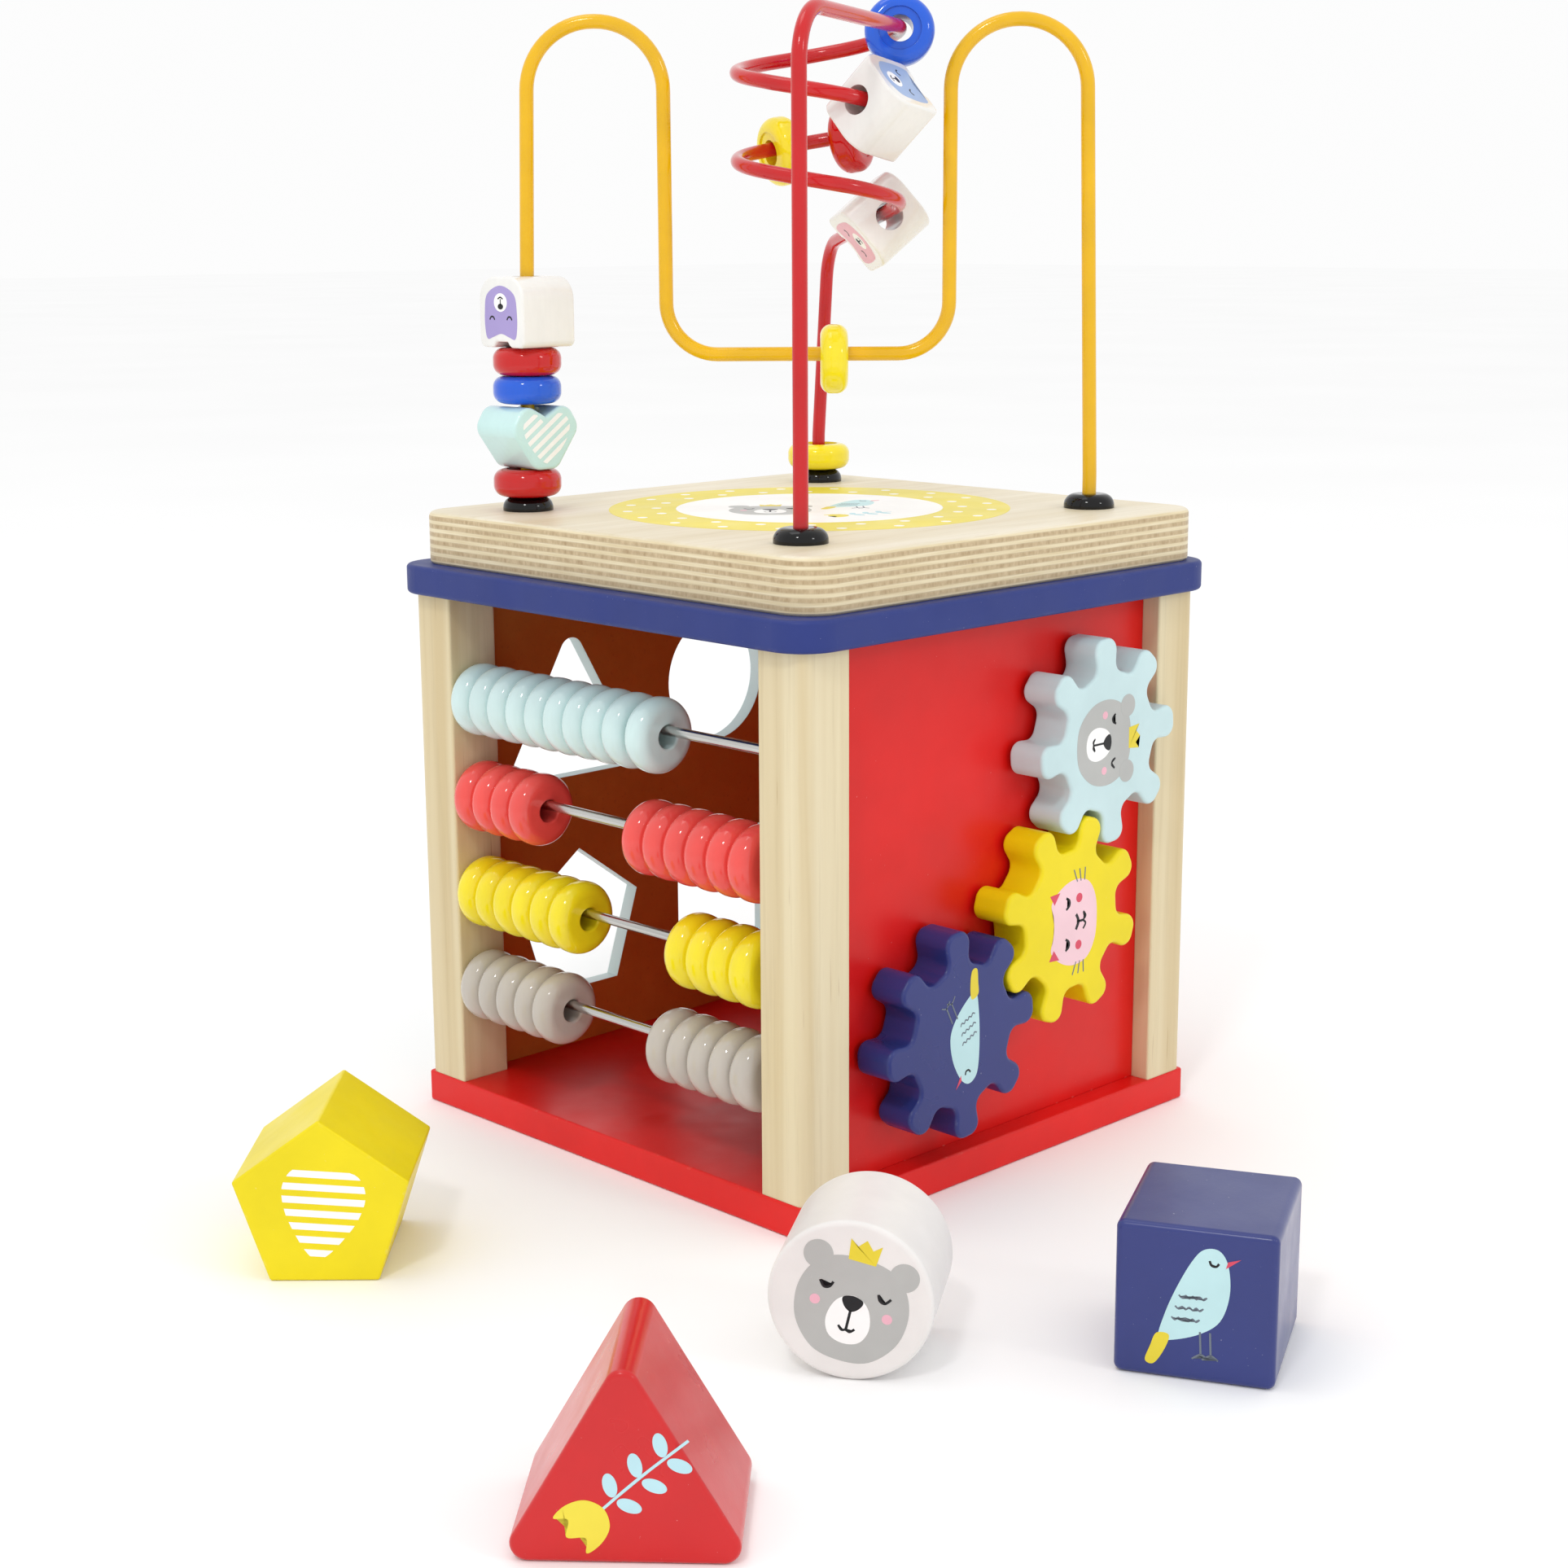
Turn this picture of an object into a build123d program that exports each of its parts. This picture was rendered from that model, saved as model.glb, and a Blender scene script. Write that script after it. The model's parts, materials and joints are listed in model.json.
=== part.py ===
"""Wooden activity cube: a shape sorter with an abacus, meshing gears, a clock and a bead maze.

Millimetres, +Z up, origin at the centre of the base plate's underside. The four upright
faces are the open abacus side (-X), the gear side (-Y), the sorter side (+Y) and the
clock side (+X). The lid and its bead maze lift off, and four sorting blocks lie beside.
"""
from build123d import *
import os
from math import acos, atan2, cos, degrees, hypot, pi, radians, sin, sqrt

os.makedirs("parts", exist_ok=True)

# ---------------------------------------------------------------- driving dimensions

# cube: base plate, posts, top frame
base_side = 200.0
base_thick = 11.5
post_side = 20.5
post_height = 181.0
post_inset = 0.5                     # posts stand this far inside the base's edge
post_round = 4.0                     # rounding of each post's outer corner
frame_side = 210.0
frame_thick = 10.5
frame_corner = 14.0
frame_opening = 148.0                # square opening that the blocks come out of

# side panels, held in grooves in the posts
panel_thick = 6.0
panel_recess = 7.4                   # from the posts' outer face to the panel's face
groove_depth = 5.0

# lid: plywood block with a locating board under it
lid_side = 200.0
lid_thick = 18.5
lid_corner = 13.0
lid_shift = 2.5                      # the loose lid rests to one side of its play, along X
plug_side = 142.0
plug_thick = 8.0

# bead maze wires
wire_dia = 5.0
wire_foot = 71.0                     # wire ends stand at +-this from the lid's centre
wire_sunk = 14.0                     # depth of each wire end in the lid
cap_dia = 18.0
cap_height = 5.0
arch_top = 389.6                     # height of the orange wire's two arches
arch_radius = 23.3
leg_lean = 3.8                       # the outer legs lean in by this much
dip_height = 276.2                   # height of the middle run between the arches
dip_radius = 18.0
helix_axis = (4.0, -4.0)
helix_radius = 28.0
helix_pitch = 29.6
helix_top = 387.0                    # height of the helix at its first rightmost point
helix_steps = 16                     # tangent arcs that make up the helix
drop_height = 313.0                  # where the red wire turns down to its back foot

# maze beads
ring_dia = 24.2
ring_thick = 9.8
ring_hole = 9.2
block_hole = 10.0
stack_gap = 0.1
head_width = 24.5
head_height = 24.5
head_depth = 23.5
heart_height = 22.8
heart_depth = 22.0

# abacus
rod_dia = 3.5
rod_socket = 8.0                     # depth of each rod end in its post
rod_heights = (157.0, 121.4, 85.8, 50.2)
bead_dia = 26.0
bead_thick = 10.2
bead_pitch = 10.3
bead_hole = 8.0
bead_rim = 4.6

# gears: three alike, eight teeth each
gear_teeth = 8
gear_centres = 63.0                  # distance between meshing axles
gear_tip = 36.9                      # before its corners are rounded
gear_root = 25.2
tooth_half = 10.0                    # half angles of a tooth's tip and of a gap's floor
gap_half = 11.5
tip_round = 4.5
root_round = 4.2
gear_thick = 15.0
spacer_thick = 1.5
yellow_at = (22.0, 85.8)             # x and z of the middle gear's axle
mint_angle = 72.4                    # direction from the yellow gear to the mint one
blue_angle = mint_angle + 3 * 360 / gear_teeth
axle_dia = 8.0
running_gap = 0.05                   # radial clearance of a turning pin in its hole

# fasteners
screw_dia = 4.0
screw_head = 8.0
screw_angle = 90.0

# clock
clock_height = 102.0
pin_dia = 6.0
hand_thick = 3.0
minute_length = 50.0
hour_length = 34.0
minute_turn = -60.0                  # from twelve o'clock, anticlockwise positive
hour_turn = 60.0

# sorting blocks and the holes they pass through
cube_block = 46.0
cylinder_dia = 48.0
pentagon_radius = 29.0
triangle_side = 64.0
block_clearance = 1.0                # gap all round between a block and its hole
block_lengths = {"cube": 50.0, "pentagon": 50.0, "triangle": 45.0, "cylinder": 41.0}

# ---------------------------------------------------------------- levels and places

post_face = base_side / 2 - post_inset
post_mid = post_face - post_side / 2
post_inner = post_face - post_side
post_top = base_thick + post_height
frame_top = post_top + frame_thick
lid_top = frame_top + lid_thick
panel_face = post_face - panel_recess
panel_back = panel_face - panel_thick
panel_width = 2 * (post_inner + groove_depth)
foot_bottom = lid_top - wire_sunk
gear_back = panel_face + spacer_thick
gear_front = gear_back + gear_thick
root_half = sqrt(0.5)                # cosine of 45 degrees


def keep(piece, name):
    """Label one finished piece and write its STEP file."""
    piece.label = name
    export_step(piece, f"parts/{name}.step")


def lid_point(x, y, z):
    """A point given from the lid's centre line, in the cube's frame."""
    return (x + lid_shift, y, z)


def countersunk_screw(length):
    """A wood screw pointing down, its flat head at the local origin."""
    with BuildPart(mode=Mode.PRIVATE) as screw:
        Cylinder(screw_dia / 2, length, align=(Align.CENTER, Align.CENTER, Align.MAX))
        Cone(screw_dia / 2, screw_head / 2, (screw_head - screw_dia) / 2,
             align=(Align.CENTER, Align.CENTER, Align.MAX))
        with BuildSketch(Plane.XY):
            Rectangle(screw_head * 0.55, 1.0)
            Rectangle(1.0, screw_head * 0.55)
        extrude(amount=-1.2, mode=Mode.SUBTRACT)
    return screw.part


# ---------------------------------------------------------------- base and posts

base_screw_length = 34.0
frame_screw_length = 30.0
screw_recess = 0.3
post_places = [(x * post_mid, y * post_mid) for x in (-1, 1) for y in (-1, 1)]

with BuildPart() as base_plate:
    with BuildSketch():
        RectangleRounded(base_side, base_side, 1.5)
    extrude(amount=base_thick)
    top_edges = base_plate.faces().sort_by(Axis.Z)[-1].edges()
    bottom_edges = base_plate.faces().sort_by(Axis.Z)[0].edges()
    fillet(top_edges + bottom_edges, 0.8)
    with Locations(Plane.XY.offset(screw_recess).rotated((180, 0, 0))):
        with Locations(*post_places):
            CounterSinkHole(screw_dia / 2, screw_head / 2, counter_sink_angle=screw_angle)
keep(base_plate.part, "base_plate")

corners = {"post_front": (-1, -1), "post_left": (-1, 1), "post_right": (1, -1), "post_back": (1, 1)}
for post_name, (sx, sy) in corners.items():
    with BuildPart() as post:
        with BuildSketch(Plane.XY.offset(base_thick)):
            with Locations((sx * post_mid, sy * post_mid)):
                Rectangle(post_side, post_side)
        extrude(amount=post_height)
        upright = post.edges().filter_by(Axis.Z)
        diagonal = Axis((0, 0, 0), (sx, sy, 0))
        outer_corner = upright.sort_by(diagonal)[-1]
        other_corners = upright.sort_by(diagonal)[:-1]
        fillet(outer_corner, post_round)
        fillet(other_corners, 0.8)
        # groove for the gear panel or the sorter panel
        with BuildSketch(Plane.XY.offset(base_thick)):
            with Locations((sx * (post_inner + groove_depth / 2), sy * (panel_face - panel_thick / 2))):
                Rectangle(groove_depth, panel_thick)
            if sx > 0:               # groove for the clock panel
                with Locations((panel_face - panel_thick / 2, sy * (post_inner + groove_depth / 2))):
                    Rectangle(panel_thick, groove_depth)
        extrude(amount=post_height, mode=Mode.SUBTRACT)
        if sx < 0:                   # sockets for the abacus rods
            with BuildSketch(Plane.XZ.offset(-sy * post_inner)):
                with Locations(*[(-post_mid, height) for height in rod_heights]):
                    Circle(rod_dia / 2)
            extrude(amount=-sy * rod_socket, mode=Mode.SUBTRACT)
        # pilot holes for the screws from below and above
        with BuildSketch(Plane.XY.offset(base_thick)):
            with Locations((sx * post_mid, sy * post_mid)):
                Circle(screw_dia / 2)
        extrude(amount=screw_recess + base_screw_length - base_thick, mode=Mode.SUBTRACT)
        with BuildSketch(Plane.XY.offset(post_top)):
            with Locations((sx * post_mid, sy * post_mid)):
                Circle(screw_dia / 2)
        extrude(amount=-(screw_recess + frame_screw_length - frame_thick), mode=Mode.SUBTRACT)
    keep(post.part, post_name)

with BuildPart() as top_frame:
    with BuildSketch(Plane.XY.offset(post_top)):
        RectangleRounded(frame_side, frame_side, frame_corner)
    extrude(amount=frame_thick)
    fillet(top_frame.faces().sort_by(Axis.Z)[-1].edges(), 1.5)
    fillet(top_frame.faces().sort_by(Axis.Z)[0].edges(), 1.5)
    with BuildSketch(Plane.XY.offset(post_top)):
        RectangleRounded(frame_opening, frame_opening, 6)
    extrude(amount=frame_thick, mode=Mode.SUBTRACT)
    with Locations(Plane.XY.offset(frame_top - screw_recess)):
        with Locations(*post_places):
            CounterSinkHole(screw_dia / 2, screw_head / 2, counter_sink_angle=screw_angle)
keep(top_frame.part, "top_frame")

with BuildPart() as base_screws:
    with Locations(Plane.XY.offset(screw_recess).rotated((180, 0, 0))):
        with Locations(*post_places):
            add(countersunk_screw(base_screw_length))
keep(base_screws.part, "base_screws")

with BuildPart() as frame_screws:
    with Locations(Plane.XY.offset(frame_top - screw_recess)):
        with Locations(*post_places):
            add(countersunk_screw(frame_screw_length))
keep(frame_screws.part, "frame_screws")

# ---------------------------------------------------------------- side panels

mint_at = (yellow_at[0] + gear_centres * cos(radians(mint_angle)),
           yellow_at[1] + gear_centres * sin(radians(mint_angle)))
blue_at = (yellow_at[0] + gear_centres * cos(radians(blue_angle)),
           yellow_at[1] + gear_centres * sin(radians(blue_angle)))
half_tooth = 180 / gear_teeth
gears = {                            # axle place and the direction of one tooth
    "yellow": (yellow_at, mint_angle),
    "mint": (mint_at, mint_angle + 180 + half_tooth),
    "blue": (blue_at, blue_angle + 180 + half_tooth),
}

with BuildPart() as gear_panel:
    with BuildSketch(Plane.XZ.offset(panel_face)):
        with Locations((0, base_thick + post_height / 2)):
            Rectangle(panel_width, post_height)
        with Locations(*[place for place, angle in gears.values()]):
            Circle(axle_dia / 2 + running_gap, mode=Mode.SUBTRACT)
    extrude(amount=-panel_thick)
keep(gear_panel.part, "gear_panel")

triangle_at = (-37.5, 117.0)         # x, and the height of the hole's lower edge
circle_at = (36.2, 145.3)
pentagon_at = (-36.0, 58.0)
square_at = (38.5, 58.0)
triangle_hole = triangle_side + 2 * sqrt(3) * block_clearance
pentagon_hole = pentagon_radius + block_clearance / cos(pi / 5)

with BuildPart() as sorter_panel:
    with BuildSketch(Plane.XZ.offset(-panel_face)) as sorter_face:
        with Locations((0, base_thick + post_height / 2)):
            Rectangle(panel_width, post_height)
        with Locations(circle_at):
            Circle(cylinder_dia / 2 + block_clearance, mode=Mode.SUBTRACT)
        with Locations(square_at):
            RectangleRounded(cube_block + 2 * block_clearance, cube_block + 2 * block_clearance,
                             3.5, mode=Mode.SUBTRACT)
    extrude(amount=panel_thick)
    with BuildSketch(Plane.XZ.offset(-panel_face)) as pointed_holes:
        with Locations((triangle_at[0], triangle_at[1] + triangle_hole * sqrt(3) / 6)):
            RegularPolygon(triangle_hole / sqrt(3), 3, rotation=90)
        fillet(pointed_holes.vertices(), 5.5)
        with Locations(pentagon_at):
            RegularPolygon(pentagon_hole, 5, rotation=90)
    extrude(amount=panel_thick, mode=Mode.SUBTRACT)
keep(sorter_panel.part, "sorter_panel")

with BuildPart() as clock_panel:
    with BuildSketch(Plane.YZ.offset(panel_face)):
        with Locations((0, base_thick + post_height / 2)):
            Rectangle(panel_width, post_height)
        with Locations((0, clock_height)):
            Circle(pin_dia / 2, mode=Mode.SUBTRACT)
    extrude(amount=-panel_thick)
keep(clock_panel.part, "clock_panel")

# ---------------------------------------------------------------- gears and their axles


def tooth_outline(turn):
    """Corner points of the gear's outline about its own centre, one tooth pointing to turn."""
    points = []
    for tooth in range(gear_teeth):
        middle = turn + 360 / gear_teeth * tooth
        gap = middle + half_tooth
        for angle, radius in ((middle - tooth_half, gear_tip), (middle + tooth_half, gear_tip),
                              (gap - gap_half, gear_root), (gap + gap_half, gear_root)):
            points.append((radius * cos(radians(angle)), radius * sin(radians(angle))))
    return points


axle_bore = 10.0                     # depth of the axle in the gear
axle_end = panel_back - 0.3          # the axle stands this far through the panel's back
retainer_thick = 1.5
retainer_screw_length = 12.0

for colour, ((gx, gz), turn) in gears.items():
    centre = Vertex(gx, gz, 0)
    with BuildPart() as gear:
        with BuildSketch(Plane.XZ.offset(gear_back)) as outline:
            with Locations((gx, gz)):
                Polygon(*tooth_outline(turn), align=None)
            tips = outline.vertices().filter_by(lambda v: v.distance_to(centre) > gear_root + 3)
            fillet(tips, tip_round)
            roots = outline.vertices().filter_by(lambda v: abs(v.distance_to(centre) - gear_root) < 0.01)
            fillet(roots, root_round)
        extrude(amount=gear_thick)
        fillet(gear.faces().sort_by(Axis.Y)[0].edges(), 1.3)
        fillet(gear.faces().sort_by(Axis.Y)[-1].edges(), 1.3)
        with BuildSketch(Plane.XZ.offset(gear_back)):
            with Locations((gx, gz)):
                Circle(axle_dia / 2)
        extrude(amount=axle_bore, mode=Mode.SUBTRACT)
    keep(gear.part, f"gear_{colour}")

    with BuildPart() as axle:
        with BuildSketch(Plane.XZ.offset(axle_end)):
            with Locations((gx, gz)):
                Circle(axle_dia / 2)
        extrude(amount=gear_back + axle_bore - axle_end)
        with BuildSketch(Plane.XZ.offset(axle_end)):
            with Locations((gx, gz)):
                Circle(screw_dia / 2)
        extrude(amount=retainer_screw_length, mode=Mode.SUBTRACT)
    keep(axle.part, f"axle_{colour}")

    with BuildPart() as retainer:
        with BuildSketch(Plane.XZ.offset(axle_end)):
            with Locations((gx, gz)):
                Circle(axle_dia)
        extrude(amount=-retainer_thick)
        with BuildSketch(Plane.XZ.offset(axle_end - retainer_thick)):
            with Locations((gx, gz)):
                Circle(3.8)
        extrude(amount=-2.4)
        fillet(retainer.faces().sort_by(Axis.Y)[-1].edges(), 1.6)
        with BuildSketch(Plane.XZ.offset(axle_end)):
            with Locations((gx, gz)):
                Circle(screw_dia / 2)
        extrude(amount=retainer_screw_length)
        with BuildSketch(Plane.XZ.offset(axle_end - retainer_thick - 2.4)):
            with Locations((gx, gz)):
                Rectangle(4.4, 0.9)
                Rectangle(0.9, 4.4)
        extrude(amount=1.2, mode=Mode.SUBTRACT)
    keep(retainer.part, f"retainer_{colour}")

with BuildPart() as gear_spacers:
    with BuildSketch(Plane.XZ.offset(panel_face)):
        with Locations(*[place for place, angle in gears.values()]):
            Circle(axle_dia)
            Circle(axle_dia / 2 + running_gap, mode=Mode.SUBTRACT)
    extrude(amount=spacer_thick)
keep(gear_spacers.part, "gear_spacers")

# ---------------------------------------------------------------- clock

hand_gap = 0.4
hour_level = panel_face + hand_gap
minute_level = hour_level + hand_thick + hand_gap
head_level = minute_level + hand_thick + hand_gap


def clock_hand(level, length, turn, width):
    """An arrow-shaped hand on the clock pin, turned anticlockwise from twelve o'clock."""
    with BuildPart(mode=Mode.PRIVATE) as hand:
        with BuildSketch(Plane.YZ.offset(level)) as shape:
            with Locations((0, clock_height)):
                with Locations(Rotation(0, 0, turn)):
                    Polygon((-width / 2, 0), (width / 2, 0), (width / 2, length - 16),
                            (width * 1.1, length - 16), (0, length), (-width * 1.1, length - 16),
                            (-width / 2, length - 16), align=None)
                Circle(9)
            fillet(shape.vertices(), 1.2)
            with Locations((0, clock_height)):
                Circle(pin_dia / 2 + running_gap, mode=Mode.SUBTRACT)
        extrude(amount=hand_thick)
        outer = hand.faces().sort_by(Axis.X)[-1].outer_wire().edges()
        fillet(outer, 0.7)
    return hand.part


keep(clock_hand(hour_level, hour_length, hour_turn, 9.0), "hour_hand")
keep(clock_hand(minute_level, minute_length, minute_turn, 7.0), "minute_hand")

with BuildPart() as clock_pin:
    with BuildSketch(Plane.YZ.offset(panel_back - 4)):
        with Locations((0, clock_height)):
            Circle(pin_dia / 2)
    extrude(amount=head_level - panel_back + 4)
    with BuildSketch(Plane.YZ.offset(head_level)):
        with Locations((0, clock_height)):
            Circle(pin_dia)
    extrude(amount=3)
    fillet(clock_pin.faces().sort_by(Axis.X)[-1].edges(), 2.2)
keep(clock_pin.part, "clock_pin")

with BuildPart() as clock_pin_washer:
    with BuildSketch(Plane.YZ.offset(panel_back)):
        with Locations((0, clock_height)):
            Circle(pin_dia)
            Circle(pin_dia / 2, mode=Mode.SUBTRACT)
    extrude(amount=-2.5)
keep(clock_pin_washer.part, "clock_pin_washer")

# ---------------------------------------------------------------- abacus

rod_x = -post_mid
hang = (bead_hole - rod_dia) / 2 - 0.05      # beads hang with their hole's top on the rod
row_gap = 4.5                                # right-hand beads rest this far off their post
left_counts = {"mint": 10, "coral": 4, "yellow": 6, "grey": 5}

with BuildPart() as abacus_rods:
    with BuildSketch(Plane.XZ.offset(-(post_inner + rod_socket))):
        with Locations(*[(rod_x, height) for height in rod_heights]):
            Circle(rod_dia / 2)
    extrude(amount=2 * (post_inner + rod_socket))
keep(abacus_rods.part, "abacus_rods")


def abacus_beads(height, starts):
    """Turned wooden beads threaded along Y; each start is the +Y face of one bead."""
    places = [(rod_x, start - bead_thick / 2, height - hang) for start in starts]
    with BuildPart(mode=Mode.PRIVATE) as beads:
        with Locations(*places):
            Cylinder(bead_dia / 2, bead_thick, rotation=(90, 0, 0))
        fillet(beads.edges().filter_by(GeomType.CIRCLE), bead_rim)
        with Locations(*places):
            Cylinder(bead_hole / 2, bead_thick + 1, rotation=(90, 0, 0), mode=Mode.SUBTRACT)
        mouths = beads.edges().filter_by(GeomType.CIRCLE)
        mouths = mouths.filter_by(lambda e: abs(e.radius - bead_hole / 2) < 0.01)
        fillet(mouths, 0.8)
    return beads.part


for (row, left_count), height in zip(left_counts.items(), rod_heights):
    first = post_inner - stack_gap
    left_starts = [first - bead_pitch * n for n in range(left_count)]
    if row == "mint":                # the last bead of the full row stands a little apart
        left_starts[-1] -= 1.6
    keep(abacus_beads(height, left_starts), f"beads_{row}_left")
    right_count = 10 - left_count
    if right_count:
        last = -post_inner + row_gap
        right_starts = [last + bead_pitch * n + bead_thick for n in range(right_count)]
        keep(abacus_beads(height, right_starts), f"beads_{row}_right")

# ---------------------------------------------------------------- lid

lid_screw_length = 20.0
lid_screw_places = [(x * 50 + lid_shift, y * 50) for x in (-1, 1) for y in (-1, 1)]
plug_bottom = frame_top - plug_thick
feet = {"front": (-wire_foot - 1.8, -wire_foot + 1.8), "left": (-wire_foot, wire_foot),
        "right": (wire_foot, -wire_foot), "back": (wire_foot + 3.0, wire_foot - 3.0)}
foot_places = [lid_point(x, y, 0)[:2] for x, y in feet.values()]

with BuildPart() as lid_block:
    with BuildSketch(Plane.XY.offset(frame_top)):
        with Locations((lid_shift, 0)):
            RectangleRounded(lid_side, lid_side, lid_corner)
    extrude(amount=lid_thick)
    fillet(lid_block.faces().sort_by(Axis.Z)[-1].edges(), 2.0)
    chamfer(lid_block.faces().sort_by(Axis.Z)[0].edges(), 0.8)
    with BuildSketch(Plane.XY.offset(lid_top)):
        with Locations(*foot_places):
            Circle(wire_dia / 2)
    extrude(amount=-wire_sunk, mode=Mode.SUBTRACT)
    with BuildSketch(Plane.XY.offset(frame_top)):
        with Locations(*lid_screw_places):
            Circle(screw_dia / 2)
    extrude(amount=screw_recess + lid_screw_length - plug_thick, mode=Mode.SUBTRACT)
keep(lid_block.part, "lid_block")

with BuildPart() as lid_plug:
    with BuildSketch(Plane.XY.offset(plug_bottom)):
        with Locations((lid_shift, 0)):
            RectangleRounded(plug_side, plug_side, 8)
    extrude(amount=plug_thick)
    chamfer(lid_plug.faces().sort_by(Axis.Z)[0].edges(), 1.5)
    with Locations(Plane.XY.offset(plug_bottom + screw_recess).rotated((180, 0, 0))):
        with Locations(*[(x, -y) for x, y in lid_screw_places]):
            CounterSinkHole(screw_dia / 2, screw_head / 2, counter_sink_angle=screw_angle)
keep(lid_plug.part, "lid_plug")

with BuildPart() as lid_screws:
    with Locations(Plane.XY.offset(plug_bottom + screw_recess).rotated((180, 0, 0))):
        with Locations(*[(x, -y) for x, y in lid_screw_places]):
            add(countersunk_screw(lid_screw_length))
keep(lid_screws.part, "lid_screws")

for corner, foot_place in zip(feet, foot_places):
    with BuildPart() as cap:
        with BuildSketch(Plane.XY.offset(lid_top)):
            with Locations(foot_place):
                Circle(cap_dia / 2)
        extrude(amount=cap_height)
        fillet(cap.faces().sort_by(Axis.Z)[-1].edges(), cap_height - 1.0)
        with BuildSketch(Plane.XY.offset(lid_top)):
            with Locations(foot_place):
                Circle(wire_dia / 2)
        extrude(amount=cap_height, mode=Mode.SUBTRACT)
    keep(cap.part, f"wire_cap_{corner}")

# ---------------------------------------------------------------- wires


def wire_along(points, radii):
    """Round wire along straight runs joined by tangent arcs."""
    with BuildPart(mode=Mode.PRIVATE) as wire:
        with BuildLine() as route:
            FilletPolyline(*points, radius=radii)
        with BuildSketch(Plane(origin=points[0], z_dir=(0, 0, 1))):
            Circle(wire_dia / 2)
        sweep(path=route.wire())
    length = route.wire().length
    expected = pi * wire_dia ** 2 / 4 * length
    print(f"wire {length:.1f} mm, volume ratio {wire.part.volume / expected:.4f}, "
          f"radii {min(radii):.1f} to {max(radii):.1f}")
    return wire.part


def across(distance, z):
    """A point in the upright plane from the left corner to the right corner of the lid."""
    return lid_point(distance * root_half, -distance * root_half, z)


leg = wire_foot / root_half          # outer legs, from the lid's centre line
leg_start = lid_top + 12             # the legs stand upright to here, then lean in
inner_leg = leg - leg_lean - 2 * arch_radius - 0.2

half_route = [(-leg, foot_bottom, 0), (-leg, leg_start, 60), (-leg + leg_lean, arch_top, arch_radius),
              (-inner_leg, arch_top, arch_radius), (-inner_leg, dip_height, dip_radius)]
other_half = [(-d, z, r) for d, z, r in reversed(half_route)]
orange_route = half_route + other_half
keep(wire_along([across(d, z) for d, z, r in orange_route],
                [r for d, z, r in orange_route[1:-1]]), "wire_orange")

front_foot = lid_point(*feet["front"], 0)
back_foot = lid_point(*feet["back"], 0)
back_top = (back_foot[0] + 2.8, back_foot[1] - 2.8)      # the back leg leans as it rises


def tangent_angle(point, side):
    """Angle on the helix circle where a line from the point touches it, in degrees."""
    dx = point[0] - helix_axis[0]
    dy = point[1] - helix_axis[1]
    return degrees(atan2(dy, dx)) + side * degrees(acos(helix_radius / hypot(dx, dy)))


def helix_height(angle):
    """Height of the helix; its first rightmost point is at -45 degrees."""
    return helix_top - helix_pitch * (angle + 45) / 360


def helix_point(angle, radius):
    """A point at an angle round the helix axis, at the wire's height there."""
    return (helix_axis[0] + radius * cos(radians(angle)),
            helix_axis[1] + radius * sin(radians(angle)), helix_height(angle))


helix_start = tangent_angle(front_foot, 1)
if helix_start > 0:
    helix_start -= 360
helix_end = tangent_angle(back_top, -1) + 720
step = (helix_end - helix_start) / helix_steps
corner_radius = helix_radius / cos(radians(step / 2))
helix_corners = [helix_point(helix_start + step * (n + 0.5), corner_radius) for n in range(helix_steps)]
red_route = ([(front_foot[0], front_foot[1], foot_bottom), (front_foot[0], front_foot[1], helix_top + 0.5)]
             + helix_corners
             + [(back_top[0], back_top[1], drop_height), (back_foot[0], back_foot[1], lid_top + 18),
                (back_foot[0], back_foot[1], foot_bottom)])
red_radii = [18.0] + [27.4] * helix_steps + [15.0, 60.0]
keep(wire_along(red_route, red_radii), "wire_red")

# ---------------------------------------------------------------- maze beads


def ring_bead(plane):
    """A turned ring with rounded rim and a shallow recess in each face, about the plane's normal."""
    with BuildPart(plane, mode=Mode.PRIVATE) as ring:
        Cylinder(ring_dia / 2, ring_thick)
        fillet(ring.edges().filter_by(GeomType.CIRCLE), 3.9)
        with Locations((0, 0, ring_thick / 2), (0, 0, -ring_thick / 2)):
            Cylinder(7.4, 1.2, mode=Mode.SUBTRACT)
        Cylinder(ring_hole / 2, ring_thick, mode=Mode.SUBTRACT)
    return ring.part


ear_top = head_height / 2
ear_notch = ear_top - 2.0
cheek = head_width / 2
head_outline = [(-cheek, -ear_top), (cheek, -ear_top), (cheek, ear_top), (4.5, ear_top),
                (3.0, ear_notch), (-3.0, ear_notch), (-4.5, ear_top), (-cheek, ear_top)]


def head_block(plane):
    """A teddy-head block: local Z leaves the printed face, local Y points to the ears."""
    with BuildPart(plane, mode=Mode.PRIVATE) as block:
        with BuildSketch(plane.offset(-head_depth / 2)) as outline:
            Polygon(*head_outline, align=None)
            fillet(outline.vertices().sort_by(Axis.Y)[:2], 8.0)
            fillet([v for v in outline.vertices() if abs(v.Y - ear_top) < 0.001], 2.6)
            fillet([v for v in outline.vertices() if abs(v.Y - ear_notch) < 0.001], 1.2)
        extrude(amount=head_depth)
        ends = Axis(plane.origin, plane.z_dir)
        end_faces = block.faces().sort_by(ends)
        fillet(end_faces[-1].edges() + end_faces[0].edges(), 1.0)
        Cylinder(block_hole / 2, head_height * 2, rotation=(90, 0, 0), mode=Mode.SUBTRACT)
    return block.part


def leg_centre(z):
    """Centre of the orange wire's left leg at a height."""
    lean = leg_lean * max(0.0, z - leg_start) / (arch_top - leg_start)
    return across(-leg + lean, z)


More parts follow.
